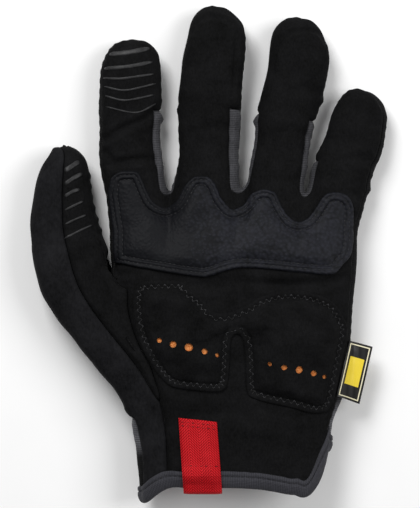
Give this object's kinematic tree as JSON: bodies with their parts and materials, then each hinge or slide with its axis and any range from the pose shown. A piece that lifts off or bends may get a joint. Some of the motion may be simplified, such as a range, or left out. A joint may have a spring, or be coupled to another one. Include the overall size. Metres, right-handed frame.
{
  "type": "mechanic glove",
  "caption": "Left-hand mechanic's work glove with padded suede palm, knuckle patch, printed grip bars and a red pull loop at the cuff.",
  "frame": {"origin": "middle of the glove's bounding box, on the surface that its back lies on", "axes": "+Y towards the fingertips, +X towards the little finger, +Z out of the palm"},
  "size_m": [0.1778, 0.2484, 0.032],
  "materials": {
    "palm_suede": "brushed synthetic suede",
    "back_knit": "matt stretch knit",
    "side_knit": "matt brushed knit",
    "knuckle_patch": "pebbled, slight sheen",
    "pad_foam": "open-cell foam",
    "loop_webbing": "herringbone webbing",
    "binding_tape": "ribbed tape",
    "woven_label": "woven satin",
    "printed_rubber": "semi-gloss print"
  },
  "bodies": {
    "root": {"palm_panel": "palm_suede", "back_panel": "back_knit", "fourchette_index_middle": "side_knit", "fourchette_middle_ring": "side_knit", "fourchette_ring_little": "side_knit", "thumb_inner_panel": "palm_suede", "thumb_outer_panel": "palm_suede", "palm_reinforcement": "knuckle_patch", "palm_pad_cover": "palm_suede", "pad_core_thumb_side": "pad_foam", "pad_core_little_side": "pad_foam", "pull_loop": "loop_webbing", "cuff_binding": "binding_tape", "side_label": "woven_label", "grip_bar_index_1": "printed_rubber", "grip_bar_index_2": "printed_rubber", "grip_bar_index_3": "printed_rubber", "grip_bar_index_4": "printed_rubber", "grip_bar_index_5": "printed_rubber", "grip_bar_index_6": "printed_rubber", "grip_bar_thumb_1": "printed_rubber", "grip_bar_thumb_2": "printed_rubber", "grip_bar_thumb_3": "printed_rubber", "grip_bar_thumb_4": "printed_rubber", "grip_bar_thumb_5": "printed_rubber", "grip_bar_thumb_6": "printed_rubber"}
  },
  "joints": []
}
